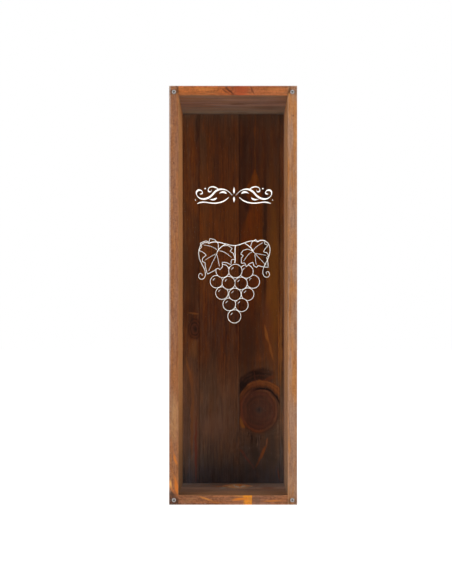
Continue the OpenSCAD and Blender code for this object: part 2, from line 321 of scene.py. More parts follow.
# End boards: 8 mm pine cut across to fit between the side boards, with the grain from side to
# side. Their front edges were sanded after staining and are more orange than their faces.

top_board = pine("stained_pine_top_end", pith=(384, -8), rings=3.4, seed=4.4, along="X", wander=6,
                 warm=("#6a4230", "#875941", "#986856", "#aa7859"),
                 cool=("#654a3d", "#826050", "#91705e", "#a3806a"),
                 gains=(0.22, 0.8, 0.6, 0.8))
# The ceiling is painted paler and greyer towards the back, darker again at the back corner: partly the
# board's own greyer face, partly a painted sheen and painted light for the shade inside the box
ceiling = near(top_board, 2, ceiling_z + 1, ceiling_z + 0.2)
wash(top_board, 1, front_y, back_y, (0.0, "#bf9475", 0.85), (0.45, "#c0a092", 0.85), (0.9, "#c9c3b4", 0.85),
     (1.0, "#9b968b", 0.9), figure=0.45, only=ceiling)
streaks(top_board, (4.5, -7, 9.5, 3.5, 2, "#4b3428", 0.8), (17, -12, 8, 2.5, -4, "#5a4030", 0.5),
        (-22, 5, 20, 2.6, 3, "#a8734f", 0.6), (30, 12, 18, 14, 0, "#8d7a6b", 0.6),
        (-28, -32, 17, 3.0, -3, "#b07a52", 0.6), (12, -38, 24, 2.2, 2, "#8f5f4a", 0.6),
        (8, 40, 7, 5, 0, "#a3968f", 0.7), lying=True, only=ceiling)
wash(top_board, 0, -inside_x, inside_x, (0.0, "#a75e2f", 0.95), (0.35, "#a95e2f", 0.95),
     (0.5, "#a0502b", 0.95), (0.7, "#a55b33", 0.95), (1.0, "#a96339", 0.95), figure=0.45,
     only=top_board["edge"])
streaks(top_board, (7.5, 356, 7.5, 8, -40, "#a04526", 0.75), (-24, 357.4, 11, 1.3, 4, "#bf7636", 0.45),
        (-35, 354, 8, 1.2, -3, "#934e28", 0.5), (34, 357, 9, 1.4, -2, "#be7640", 0.45),
        (24, 354, 5, 1.3, 3, "#97532e", 0.4), (-3.2, 356, 1.3, 7.6, -47, "#562a1a", 0.95),
        (-6.6, 355, 0.9, 4.5, -55, "#64331e", 0.9), (16.8, 356, 0.8, 6.5, -25, "#65341f", 0.95),
        (-12, 353.4, 0.8, 6, -80, "#85482a", 0.6), only=top_board["edge"])
wear("top_end", top_board)

bottom_board = pine("stained_pine_bottom_end", pith=(-22, 6), rings=3.4, seed=7.7, along="X", wander=3,
                    warm=("#5b3624", "#794b32", "#89583b", "#996745"),
                    cool=("#573c30", "#73503e", "#7f5e4a", "#8f6d57"),
                    gains=(0.3, 0.8, 0.6, 0.8))
# The floor is painted paler and greyer towards the back: partly the board's own greyer face, partly a painted
# sheen and painted light for the shade inside the box
floor = near(bottom_board, 2, floor_z - 1, floor_z - 0.2)
wash(bottom_board, 1, front_y, back_y, (0.0, "#ab7a51", 0.8), (0.5, "#a48876", 0.85),
     (1.0, "#a59d9a", 0.85), figure=0.55, only=floor)
streaks(bottom_board, (4.0, 23, 13.0, 24, 0, "#ffca92", 1.2, 0.5),
        (-7.0, 25, 3.4, 10, 20, "#ffc182", 1.2, 0.2), (-2.6, 20, 2.8, 9, 0, "#ffdcae", 1.5, 0.2),
        (0.6, 30, 1.6, 7, 0, "#fff0d8", 1.4, 0.3), (3.4, 17, 2.6, 9, -15, "#fff6e8", 1.6, 0.2),
        (6.4, 27, 1.8, 8, 0, "#ffab62", 1.2, 0.2), (9.2, 20, 2.6, 11, 10, "#fff0dc", 1.6, 0.2),
        (13.4, 25, 3.2, 7, 0, "#ffc48e", 1.4, 0.1), (16.6, 22, 1.5, 4, 0, "#ffdcb8", 1.1, 0.3),
        (-13, 21, 4, 7, 10, "#d09468", 0.9, 0.3), (-17.5, 25, 3.2, 4, 0, "#c98e66", 0.8, 0.3),
        (-9.5, 9, 4, 10, 0, "#bcb4ac", 0.9, 0.3), (1, 2, 9, 4, 0, "#a98f80", 0.7, 0.3),
        (-33, 31, 4, 14, 0, "#9a908c", 0.7), (31, 8, 8, 14, 0, "#8a5844", 0.6),
        (-22, -38, 10, 3, 5, "#b0774a", 0.6), lying=True, only=floor)
wash(bottom_board, 0, -inside_x, inside_x, (0.0, "#a56440", 0.8), (0.5, "#a46541", 0.8),
     (0.72, "#8f5f48", 0.8), (1.0, "#a06441", 0.8), figure=0.45, only=bottom_board["edge"])
streaks(bottom_board, (-23.4, 5.4, 1.1, 7.5, -72, "#c0783a", 0.95), (-15, 2.2, 0.8, 6, -84, "#a9622f", 0.8),
        (-38, 4, 2.4, 7, 70, "#9c6a46", 0.5), (34, 3.0, 0.8, 10, 89, "#bd7136", 0.95),
        (34.5, 6.2, 0.7, 3.5, -70, "#6a4733", 0.8), (21, 4, 3.5, 4, 0, "#775340", 0.7),
        only=bottom_board["edge"])

# A block of orange sapwood on the front edge, cut off sharply on its right, with a tongue to its left
slant = put(bottom_board["tree"], "ShaderNodeSeparateXYZ", {0: bottom_board["ragged"]}).outputs
slant = put(bottom_board["tree"], "ShaderNodeMapRange", {0: slant[0], 1: 8.2, 2: 10.2}).outputs[0]
torn = put(bottom_board["tree"], "ShaderNodeMapRange",
           {0: bottom_board["tone"], 1: 0.25, 2: 0.6, 3: 0.6}).outputs[0]
block = times(bottom_board, slant, torn, near(bottom_board, 0, 16.5, 16.0), bottom_board["edge"])
over(bottom_board, block, linear("#de8828"))
streaks(bottom_board, (6.5, 4.6, 9.5, 1.5, -4, "#cb742b", 1.2), (4.5, 7.2, 5.5, 1.0, 3, "#b5773f", 0.9),
        only=bottom_board["edge"])
wear("bottom_end", bottom_board)


# Back staves: four tongue and groove staves of 7 mm pine with the grain upright, stained darker than
# the boards and painted darker again as painted shade of the box's inside, and pinned into the rebate.
# The third has a large knot low down.

# Stave tones: partly a darker stain, partly painted shade of the inside of the box
stave_tones = {
    "warm": ("#4f2812", "#703d1b", "#83481d", "#9d5d29"),
    "cool": ("#472c1a", "#623f29", "#6f4932", "#855a40"),
}
left_stave = pine("stained_pine_left_stave", pith=(-70, 75), rings=2.6, seed=12.0, slope=0.02,
                  gains=(0.1, 0.8, 0.45, 0.1), knots=((-35.7, 151.9, 4.2, 6.5, 9.0),), **stave_tones)
mid_left_stave = pine("stained_pine_mid_left_stave", pith=(-60, 30), rings=2.2, seed=15.0, wander=2.5,
                      gains=(0.08, 0.85, 0.3, 0.1), **stave_tones)
mid_right_stave = pine("stained_pine_mid_right_stave", pith=(21, 90), rings=3.0, seed=21.0, slope=0.05,
                       wander=4, gains=(0.1, 0.6, 0.25, 0.1),
                       knots=((24.0, 76.1, 17.5, 20.4, 26.0), (26.5, 72, 20, 26, 0.0)), **stave_tones)
right_stave = pine("stained_pine_right_stave", pith=(70, 30), rings=2.4, seed=26.0,
                   gains=(0.1, 0.8, 0.45, 0.1), **stave_tones)


def knot(board, number, *face, towards=(0, 1), reach=None, tear=0.0):
    """Colours a knot: face goes out from its heart, at 0, to twice its radius, at 1. A stop's alpha is
    how much it covers. With a reach it colours only the side that it points towards."""
    tree = board["tree"]
    away = put(tree, "ShaderNodeVectorMath", {0: board["reaches"][number]}, operation="LENGTH").outputs[1]
    torn = put(tree, "ShaderNodeMath", {0: board["tone"], 1: 0.5}, operation="SUBTRACT").outputs[0]
    half = put(tree, "ShaderNodeMath", {0: away, 1: 0.5}, operation="MULTIPLY").outputs[0]
    half = put(tree, "ShaderNodeMath", {0: torn, 1: tear, 2: half}, operation="MULTIPLY_ADD").outputs[0]
    disc = put(tree, "ShaderNodeValToRGB", {0: half}, face).outputs
    colour = figured(board, disc[0], 0.3, 0.7, 0.3)
    cover = disc[1]
    if reach:
        unit = put(tree, "ShaderNodeVectorMath", {0: board["reaches"][number]},
                   operation="NORMALIZE").outputs[0]
        facing = put(tree, "ShaderNodeVectorMath", {0: unit, 1: (towards[0], 0, towards[1])},
                     operation="DOT_PRODUCT").outputs[1]
        side = put(tree, "ShaderNodeMapRange", {0: facing, 1: reach[0], 2: reach[1]}).outputs[0]
        cover = times(board, cover, side)
    over(board, cover, colour)


# Low on the back: a painted shadow of the floor board, dark grey at the foot, then a greyer brown that fades
# out below half way up
for board in (left_stave, mid_left_stave, mid_right_stave, right_stave):
    wash(board, 2, 0, 150, (0.06, "#4d4445", 0.95), (0.13, "#564b4a", 0.95), (0.19, "#64574f", 0.9),
         (0.4, "#7d604b", 0.8), (0.7, "#795c42", 0.55), (0.95, "#704c2f", 0.0), figure=0.5)

# The third stave darkens towards its top
wash(mid_right_stave, 2, 235, ceiling_z, (0.0, "#593620", 0.0), (0.4, "#593620", 0.55), (1.0, "#573624", 0.6),
     figure=0.4)

# Half way up, the back is more golden
for board, code, cover in ((left_stave, "#76441a", 0.45), (mid_left_stave, "#894f18", 0.75),
                           (mid_right_stave, "#6a3d10", 0.6), (right_stave, "#74451c", 0.6)):
    wash(board, 2, 165, 325, (0.0, code, 0.0), (0.22, code, cover), (0.62, code, cover), (1.0, code, 0.0),
         figure=0.5)

# It is duller at the top, and paler low down on the first two staves
wash(right_stave, 2, 260, ceiling_z, (0.0, "#60381e", 0.0), (0.4, "#60381e", 0.6), (1.0, "#624331", 0.6),
     figure=0.4)
for board, most in ((left_stave, 0.7), (mid_left_stave, 0.7), (mid_right_stave, 0.4)):
    wash(board, 2, 326, ceiling_z, (0.0, "#82522e", 0.0), (0.5, "#845432", 0.8 * most),
         (1.0, "#87664f", most), figure=0.4)
wash(mid_left_stave, 2, 286, ceiling_z, (0.0, "#84582f", 0.0), (0.3, "#84582f", 0.35), (0.6, "#84582f", 0.3),
     (1.0, "#84582f", 0.0), figure=0.5)
wash(left_stave, 2, 14, 128, (0.0, "#93624c", 0.0), (0.25, "#93624c", 0.3), (0.8, "#93624c", 0.25),
     (1.0, "#93624c", 0.0), figure=0.5)
wash(mid_left_stave, 2, 22, 118, (0.0, "#8e6c55", 0.0), (0.2, "#8e6c55", 0.4), (0.7, "#8e6c55", 0.4),
     (1.0, "#8e6c55", 0.0), figure=0.5)

# The flame of orange heartwood in the third stave, which widens downwards from its tip and has a
# waist on its left
tree = mid_right_stave["tree"]
level = put(tree, "ShaderNodeSeparateXYZ", {0: mid_right_stave["ragged"]}).outputs
flame_foot, flame_tip, widest = 110, 310, 40
up = put(tree, "ShaderNodeMapRange", {0: level[2], 1: flame_foot, 2: flame_tip}).outputs[0]
limits = []
flame_left = ((0.0, 7), (0.60, 7), (0.70, 9), (0.755, 14.5), (0.79, 16.2), (0.83, 12.5), (0.875, 13),
              (0.92, 17.5), (0.96, 20.2))
flame_right = ((0.0, 26), (0.70, 27.5), (0.82, 27), (0.875, 25.5), (0.92, 22.5), (0.96, 20.6))
for stops in (flame_left, flame_right):
    limit = put(tree, "ShaderNodeValToRGB", {0: up},
                [(place, "#ffffff", x / widest) for place, x in stops]).outputs[1]
    limit = put(tree, "ShaderNodeMath", {0: limit, 1: widest}, operation="MULTIPLY").outputs[0]
    limits.append(put(tree, "ShaderNodeMath", {0: level[0], 1: limit}, operation="SUBTRACT").outputs[0])
past_left = put(tree, "ShaderNodeMapRange", {0: limits[0], 1: -0.6, 2: 0.9}).outputs[0]
past_right = put(tree, "ShaderNodeMapRange", {0: limits[1], 1: 0.6, 2: -0.6}).outputs[0]
foot = put(tree, "ShaderNodeMapRange", {0: level[2], 1: 118.0, 2: 215.0, 3: 0.1},
           interpolation_type="SMOOTHSTEP").outputs[0]
wash(mid_right_stave, 2, 112, 300, (0.06, "#6f3c0a", 0.95), (0.3, "#753e05", 0.95), (0.5, "#7d3e02", 0.95),
     (0.68, "#8b4702", 0.95), (0.85, "#864504", 0.95), (1.0, "#9c5607", 0.95), figure=0.6,
     only=times(mid_right_stave, past_left, past_right, foot, near(mid_right_stave, 2, 112, 124)))
streaks(mid_right_stave, (20.3, 288, 1.6, 10, 0, "#a35f1f", 0.6), (12.0, 268, 3.4, 8, 0, "#361c10", 0.75),
        (29.6, 240, 2.0, 90, 0, "#3b1e11", 0.75), (35.5, 230, 4.5, 110, 0, "#76461b", 0.55),
        (38.0, 195, 6.0, 88, 0, "#8e5719", 0.75), (9.0, 264, 4.5, 34, 0, "#562c0e", 0.5),
        (10.0, 310, 3.5, 45, 0, "#4b2a17", 0.5), (33, 150, 5, 42, -4, "#894c1f", 0.7),
        (31.0, 147, 1.8, 10, -14, "#bc722c", 0.95), (35.6, 131, 1.3, 12, -14, "#ac682d", 0.85),
        (13.5, 140, 9.0, 42, 0, "#502f19", 0.6), (33.0, 190, 3.5, 22, 0, "#975b1d", 0.7),
        (38.5, 112, 1.5, 38, 0, "#8c5124", 0.6))

# The large knot: a dark heart, an orange rim, and swirled grain above it
knot(mid_right_stave, 1, (0.0, "#3b1f13", 0.0), (0.50, "#3b1f13", 0.0), (0.52, "#824924", 0.9),
     (0.56, "#a35f2c", 0.85), (0.575, "#844b24", 0.85), (0.60, "#a6622d", 0.85), (0.62, "#97572c", 0.85),
     (0.64, "#5c321b", 0.0), towards=(-0.15, 1.0), reach=(0.15, 0.6), tear=0.05)
knot(mid_right_stave, 1, (0.0, "#3b1e15", 0.0), (0.61, "#3b1e15", 0.0), (0.635, "#3b1e15", 0.85),
     (0.68, "#2d1813", 0.85), (0.71, "#522f21", 0.8), (0.735, "#2b1713", 0.85), (0.77, "#4b2b1e", 0.75),
     (0.795, "#311a11", 0.7), (0.84, "#3b1f13", 0.0), towards=(-0.6, 0.8), reach=(0.3, 0.8), tear=0.08)
knot(mid_right_stave, 0, (0.0, "#382c2e", 0.85), (0.04, "#4c3c3a", 0.8), (0.09, "#634539", 0.85),
     (0.18, "#694133", 0.85), (0.30, "#5f3c2d", 0.85), (0.38, "#6f402f", 0.85), (0.42, "#5d3626", 0.85),
     (0.46, "#7e472f", 0.75), (0.485, "#8c4d30", 0.6), (0.51, "#502c1c", 0.6), (0.56, "#623a27", 0.3),
     (0.62, "#442315", 0.0), tear=0.03)
knot(mid_right_stave, 0, (0.44, "#9b542c", 0.0), (0.475, "#9d532d", 0.7), (0.505, "#924c2c", 0.55),
     (0.54, "#7d3e21", 0.0), towards=(-0.75, -0.66), reach=(0.1, 0.8), tear=0.05)
knot(mid_right_stave, 1, (0.445, "#211210", 0.0), (0.465, "#1e1115", 0.9), (0.485, "#211210", 0.9),
     (0.51, "#5c2f19", 0.0), towards=(0.45, 0.9), reach=(0.35, 0.8), tear=0.02)

# Fine rings inside the large knot, and the streaks and splits below it
away = put(tree, "ShaderNodeVectorMath", {0: mid_right_stave["reaches"][0]}, operation="LENGTH").outputs[1]
rings_out = put(tree, "ShaderNodeMath", {0: away, 1: 7.0}, operation="MULTIPLY").outputs[0]
rings_out = put(tree, "ShaderNodeMath", {0: mid_right_stave["tone"], 1: 3.0, 2: rings_out},
                operation="MULTIPLY_ADD").outputs[0]
rings_out = put(tree, "ShaderNodeMath", {0: rings_out, 1: 1.0}, operation="PINGPONG").outputs[0]
line = put(tree, "ShaderNodeMapRange", {0: rings_out, 1: 0.45, 2: 1.0, 4: 0.4}).outputs[0]
within = put(tree, "ShaderNodeMapRange", {0: away, 1: 1.0, 2: 0.85}).outputs[0]
over(mid_right_stave, times(mid_right_stave, line, within), linear("#7d4836"))
streaks(mid_right_stave, (34, 40, 9, 30, 0, "#4d392c", 0.6), (7.6, 64.7, 2.0, 6.5, -12, "#bc7930", 0.9),
        (9.5, 99, 5, 6, 40, "#2c1712", 0.8), (21, 111, 9, 2.2, 4, "#301913", 0.7),
        (20, 106.5, 9, 0.8, 80, "#6c3e2e", 0.6), (18, 48.5, 4.5, 8, 0, "#3e2921", 0.6),
        (15.5, 49, 0.6, 6, 4, "#7f5f4b", 0.6), (19.3, 47, 0.5, 6, 0, "#836651", 0.5),
        (23.5, 49, 0.6, 5, -4, "#34221d", 0.7), (20.2, 36.0, 5.5, 11, 0, "#4b3c35", 0.7),
        (31.2, 46.5, 1.2, 5, 8, "#a36845", 0.8), (27.0, 36.0, 2.0, 10, 27, "#a8602f", 0.95),
        (22.4, 27, 1.2, 6, 24, "#8a5238", 0.85), (7.5, 37.5, 1.5, 6, -50, "#845040", 0.8),
        (12.8, 30.5, 1.4, 9, -36, "#855046", 0.85), (18.2, 23.5, 0.8, 4, -24, "#7d4f49", 0.7),
        (4.4, 26.4, 0.7, 0.7, 0, "#dcd3bb", 0.95), (17.4, 50, 0.7, 5, 0, "#2a1a16", 0.85),
        (21.3, 47.5, 0.6, 4.5, 0, "#2a1a16", 0.85), (25.8, 50, 0.8, 4, 6, "#33201c", 0.75),
        (22.4, 44, 0.5, 3.5, 0, "#94705a", 0.7), (14.2, 53, 0.6, 3, 20, "#2f1f1a", 0.7),
        (9.2, 61.2, 1.5, 2.8, -35, "#bd7530", 0.85), (10.0, 73, 4.5, 13, 0, "#84523a", 0.4),
        (33.5, 106, 7, 2.6, -22, "#86421f", 0.6))

# The small knot in the first stave, and streaks of resin and stain
streaks(left_stave, (-39, 205, 10, 48, 0, "#4b2d1a", 0.6), (-41, 166, 8, 16, 0, "#462819", 0.6))
knot(left_stave, 0, (0.0, "#23150f", 0.9), (0.2, "#3e2319", 0.8), (0.38, "#5d3424", 0.7),
     (0.46, "#2f1910", 0.85), (0.6, "#5c3321", 0.5), (0.68, "#361d13", 0.7), (0.9, "#44281b", 0.0),
     tear=0.12)
streaks(left_stave, (-37.0, 166.5, 6.5, 1.0, 4, "#a3622e", 0.7), (-36.5, 133, 5.0, 11, 0, "#925f33", 0.6),
        (-41.2, 112, 1.7, 18, -12, "#985d2e", 0.75), (-38.6, 60, 1.5, 34, 0, "#a56436", 0.7),
        (-38.2, 86, 1.8, 42, 0, "#8d5931", 0.7), (-34.9, 40, 1.5, 36, 0, "#873e30", 0.8),
        (-33.8, 337, 1.2, 22, 0, "#34251c", 0.6), (-44, 60, 2.5, 60, 0, "#6c4a38", 0.5))
streaks(mid_left_stave, (-26, 262, 4.0, 45, 0, "#804f24", 0.5), (-3, 255, 6.5, 50, 0, "#825121", 0.5),
        (-15, 300, 3.0, 50, 0, "#5c3624", 0.4), (-18, 95, 7.0, 40, 0, "#86674d", 0.4),
        (-1.0, 110, 2.5, 60, 0, "#7f5538", 0.4), (-9, 64, 12, 40, 0, "#99775f", 0.35),
        (-19, 61, 16, 14, 0, "#a87f68", 0.35))

# Stain gathered in the joints, less so low down between the second and the third, and a line of
# resin beside the last
joints = ((mid_left_stave, 4.7, 5.7, 0.6, 190), (mid_right_stave, 6.8, 6.0, 0.6, 190),
          (left_stave, -32.8, -31.8, 0.4, 0), (mid_left_stave, -30.6, -31.5, 0.4, 0),
          (mid_right_stave, 42.6, 43.2, 0.3, 0))
for board, inner, joint, most, full_z in joints:
    dark = put(board["tree"], "ShaderNodeMapRange",
               {0: board["place"][0], 1: inner, 2: joint, 4: most}).outputs[0]
    over(board, times(board, dark, near(board, 2, full_z - 160, full_z)), linear("#27150f"))
streaks(mid_right_stave, (42.8, 140, 0.7, 48, 0, "#b36b2a", 0.9), (42.4, 16, 0.7, 8, -5, "#8a4a34", 0.8))
streaks(right_stave, (45.5, 205, 3.5, 36, 0, "#9a6232", 0.5), (44.4, 140, 1.6, 55, 0, "#9f6532", 0.9))
for node, board in (("left_stave", left_stave), ("mid_left_stave", mid_left_stave),
                    ("mid_right_stave", mid_right_stave), ("right_stave", right_stave)):
    wear(node, board)


# Corner nails and back pins: plain drawn steel wire with flat heads, driven just under the
# surface of the side boards and of the back staves.


def grained(name, size, detail, colours, roughness, relief, depth, metallic=0.0):
    """A finish with a fine grain, its size in mm. The grain varies the colour and the gloss, and raises
    the surface by up to a depth in mm."""
    material, tree = empty_material(name)
    coord = put(tree, "ShaderNodeTexCoord")
    grain = put(tree, "ShaderNodeTexNoise", {
        "Vector": coord.outputs["Object"], "Scale": 1000 / size, "Detail": detail}).outputs[0]
    colour = put(tree, "ShaderNodeValToRGB", {0: grain}, colours).outputs[0]
    gloss = put(tree, "ShaderNodeMapRange", {
        0: grain, 1: 0.3, 2: 0.7, 3: roughness[0], 4: roughness[1]}).outputs[0]
    bump = put(tree, "ShaderNodeBump", {
        "Strength": relief, "Distance": depth / 1000, "Height": grain}).outputs[0]
    shader = put(tree, "ShaderNodeBsdfPrincipled", {
        "Base Color": colour, "Roughness": gloss, "Metallic": metallic, "Normal": bump})
    put(tree, "ShaderNodeOutputMaterial", {0: shader.outputs[0]})
    return {"material": material, "tree": tree, "shader": shader, "coord": coord}


# Drawn steel wire is grey and half dull, with shallow marks of the die. They are drawn about 1 mm
# apart, coarser than they are, so that they show.
nail_steel = grained("nail_steel", size=1.11, detail=3, colours=((0.3, "#5f6063", 1), (0.7, "#a3a5a8", 1)),
                     roughness=(0.28, 0.5), relief=0.3, depth=0.03, metallic=1.0)
for node in ("left_side_nails", "right_side_nails", "back_pins"):
    wear(node, nail_steel)


# Clear cover: a sheet of 3 mm clear acrylic over the whole front, bevelled and polished round
# its edge, laid on the front edges of the boards.

# Cast acrylic has no tint to speak of and mirrors a little of the room. Where it was wiped it is a
# touch less sharp. Light for the inside goes straight through it, with nothing bent.
wipe = 16.7
acrylic, tree = empty_material("clear_acrylic")
coord = put(tree, "ShaderNodeTexCoord")
smear = put(tree, "ShaderNodeTexNoise", {
    "Vector": coord.outputs["Object"], "Scale": 1000 / wipe, "Detail": 4}).outputs[0]
polish = put(tree, "ShaderNodeMapRange", {0: smear, 1: 0.35, 2: 0.75, 3: 0.0, 4: 0.03}).outputs[0]
clear = put(tree, "ShaderNodeBsdfPrincipled", {
    "Base Color": linear("#fbfdfd"), "Roughness": polish, "IOR": 1.49, "Transmission Weight": 1.0})
ray = put(tree, "ShaderNodeLightPath")
through = put(tree, "ShaderNodeMath", {0: ray.outputs["Is Shadow Ray"], 1: ray.outputs["Is Diffuse Ray"]},
              operation="MAXIMUM").outputs[0]
lit = put(tree, "ShaderNodeBsdfTransparent", {"Color": linear("#f8fafa")})
both = put(tree, "ShaderNodeMixShader", {0: through, 1: clear.outputs[0], 2: lit.outputs[0]})
put(tree, "ShaderNodeOutputMaterial", {0: both.outputs[0]})
wear("front_cover", {"material": acrylic})


# Print on the cover: off-white ink screened on the front of the sheet, 0.02 mm thick, a scroll
# above and a bunch of grapes below.

# Screen ink dries matt, with the grain of the mesh it was pressed through, drawn coarser than it is so
# that it shows
white_ink = grained("white_ink", size=0.667, detail=2, colours=((0.3, "#efe9df", 1), (0.6, "#fbf8f2", 1)),
                    roughness=(0.45, 0.65), relief=0.3, depth=0.01)
ink_thickness, ink_gap, overlap = 0.02, 0.001, 0.0002
cover_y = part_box("front_cover")[0].y


def curve(*points, steps=14):
    """Points along a chain of Bezier curves: a start, then two handles and an end for each curve."""
    line = [Vector(points[0])]
    for i in range(1, len(points), 3):
        a, b, c, d = (Vector(p) for p in (points[i - 1], *points[i:i + 3]))
        for k in range(1, steps + 1):
            t = k / steps
            line.append((1 - t) ** 3 * a + 3 * (1 - t) ** 2 * t * b + 3 * (1 - t) * t * t * c + t ** 3 * d)
    return line


def strokes_mesh(name, strokes):
    """One piece from strokes of (points, widths) in mm, each a strip of ink with round ends. It lies
    slightly over the one before."""
    verts, faces = [], []
    for number, (line, widths) in enumerate(strokes):
        front = cover_y * 1000 - ink_thickness - overlap * number
        back = cover_y * 1000 - ink_gap
        end = len(line) - 1
        ways = [(line[min(i + 1, end)] - line[max(i - 1, 0)]).normalized() for i in range(end + 1)]
        rail = []
        for p, way, w in zip(line, ways, widths):
            side = Vector((-way.y, way.x))
            rail.append((p + side * w / 2, p - side * w / 2))
        caps = []
        for p, way, w, sign in ((line[0], ways[0], widths[0], -1), (line[-1], ways[-1], widths[-1], 1)):
            side = Vector((-way.y, way.x))
            caps.append([(p + sign * way * w / 2 * math.cos(a) + side * w / 2 * math.sin(a),
                          p + sign * way * w / 2 * math.cos(a) - side * w / 2 * math.sin(a))
                         for a in (math.radians(30), math.radians(60))])
        rail = caps[0] + rail + caps[1][::-1]
        first = len(verts)
        for left, right in rail:
            for p in (left, right):
                verts += [(p.x / 1000, front / 1000, p.y / 1000), (p.x / 1000, back / 1000, p.y / 1000)]
        for i in range(len(rail) - 1):
            left_front, left_back, right_front, right_back = (first + 4 * i + k for k in range(4))
            faces += [(left_front, right_front, right_front + 4, left_front + 4),
                      (left_back, left_back + 4, right_back + 4, right_back),
                      (left_front, left_front + 4, left_back + 4, left_back),
                      (right_front, right_back, right_back + 4, right_front + 4)]
        last = first + 4 * (len(rail) - 1)
        faces += [(first, first + 1, first + 3, first + 2), (last, last + 2, last + 3, last + 1)]
    mesh = bpy.data.meshes.new(name)
    mesh.from_pydata(verts, [], faces)
    mesh.validate()
    mesh.materials.append(white_ink["material"])
    piece = bpy.data.objects.new(name, mesh)
    bpy.context.scene.collection.objects.link(piece)
    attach(piece, "cover")


def pen(line, thin, thick, slant=50):
    """Widths of a broad pen held at a slant, drawn out at both ends."""
    widths = []
    for i in range(len(line)):
        way = line[min(i + 1, len(line) - 1)] - line[max(i - 1, 0)]
        turn = abs(math.sin(math.atan2(way.y, way.x) - math.radians(slant)))
        ends = min(1.0, 6.0 * min(i + 0.6, len(line) - i - 0.4) / len(line))
        widths.append((thin + (thick - thin) * turn ** 1.6) * (0.35 + 0.65 * ends))
    return widths


def swell(line, width):
    """Widths of a drop, widest in its first half."""
    return [max(0.25, width * math.sin(math.pi * (i / (len(line) - 1)) ** 0.75)) for i in range(len(line))]


scroll = []
middle_x, middle_z = 0.75, 266.0
for mirror in (1, -1):
    half = (
        (curve((1.6, -0.3), (6, 6.2), (13.5, 7.0), (17.8, 1.2), (21.0, -3.0), (27.5, -5.4), (31.2, -1.2),
               (33.8, 1.9), (31.6, 5.4), (28.4, 4.0), (26.2, 2.9), (27.0, 0.4), (29.2, 1.0)), 0.45, 1.5, 60),
        (curve((4.6, -1.9), (9, -7.0), (16.5, -7.6), (22.6, -6.4), (25.8, -5.8), (28.2, -5.9), (31.4, -7.2)),
         0.4, 1.0, 60),
        (curve((12.8, 4.4), (16.5, 8.6), (22.4, 7.6), (22.2, 4.2), (22.0, 2.2), (19.2, 2.4), (19.4, 4.3)),
         0.4, 1.0, 120),
    )
    for line, thin, thick, slant in half:
        line = [Vector((middle_x + mirror * p.x, middle_z + p.y)) for p in line]
        scroll.append((line, pen(line, thin, thick, slant if mirror > 0 else 180 - slant)))
    for points, width in ((((6.4, 1.2), (8.0, 3.0), (10.4, 3.2), (12.6, 1.4)), 1.7),
                          (((14.8, -2.2), (16.4, -4.0), (18.6, -4.4), (21.0, -3.4)), 1.5),
                          (((24.2, 5.4), (24.6, 5.6), (25.0, 5.6), (25.4, 5.4)), 1.2),
                          (((32.8, -4.4), (33.0, -4.3), (33.2, -4.3), (33.4, -4.4)), 1.1)):
        line = [Vector((middle_x + mirror * p.x, middle_z + p.y)) for p in curve(*points)]
        scroll.append((line, swell(line, width)))
for low, high in ((1.4, 6.8), (-1.6, -6.2)):
    drop = curve((0, low), (0, low + 0.3 * (high - low)), (0, low + 0.7 * (high - low)), (0, high))
    line = [Vector((middle_x, middle_z + p.y)) for p in drop]
    scroll.append((line, swell(line, 1.5)))
strokes_mesh("print_scroll", scroll)

# Vine leaf: half of its outline from the stalk to the tip, in shares of its length
half_leaf = ((0.0, 0.10), (0.10, 0.30), (0.30, 0.40), (0.50, 0.36), (0.47, 0.22), (0.62, 0.20),
             (0.78, 0.02), (0.66, -0.08), (0.72, -0.26), (0.54, -0.26), (0.36, -0.32), (0.44, -0.48),
             (0.40, -0.62), (0.28, -0.62), (0.20, -0.76), (0.0, -1.0))
leaf_veins = (((0, 0.1), (0.02, -0.3), (-0.02, -0.6), (0, -0.86)),
              ((0.05, 0.06), (0.2, 0.12), (0.4, 0.08), (0.62, 0.02)),
              ((0.03, -0.12), (0.14, -0.26), (0.24, -0.4), (0.32, -0.52)))


def leaf(x, z, length, turn):
    """Outline and veins of a vine leaf. Its stalk meets it at x, z, and its tip points down before it is
    turned."""
    spin = Matrix.Rotation(math.radians(turn), 2)
    ring = list(half_leaf) + [(-px, pz) for px, pz in half_leaf[-2:0:-1]]
    outline = []
    for i in range(len(ring)):
        before, a, b, after = (Vector(ring[(i + k) % len(ring)]) for k in (-1, 0, 1, 2))
        for k in range(5):
            t = k / 5
            outline.append(a + (b - a) * t + 0.16 * t * (1 - t) * ((b - before) * (1 - t) - (after - a) * t))
    outline.append(outline[0])
    veins = [curve(*points) for points in leaf_veins]
    veins += [[Vector((-p.x, p.y)) for p in vein] for vein in veins[1:]]

    def moved(line):
        return [Vector((x, z)) + spin @ (length * p) for p in line]

    return moved(outline), [moved(vein) for vein in veins]


def inside(p, outline):
    """Whether a point lies inside a closed outline."""
    hit = False
    for a, b in zip(outline, outline[1:]):
        if (a.y > p.y) != (b.y > p.y) and p.x < a.x + (p.y - a.y) / (b.y - a.y) * (b.x - a.x):
            hit = not hit
    return hit


random.seed(5)
drawn, masks = [], []
for x, z, length, turn in ((-13.5, 217.5, 21.0, -24), (17.5, 217.0, 18.0, 44)):
    outline, veins = leaf(x, z, length, turn)
    drawn.append((outline, [0.34] * len(outline)))
    drawn += [(vein, [0.27 - 0.08 * i / len(vein) for i in range(len(vein))]) for vein in veins]
    masks.append(outline)

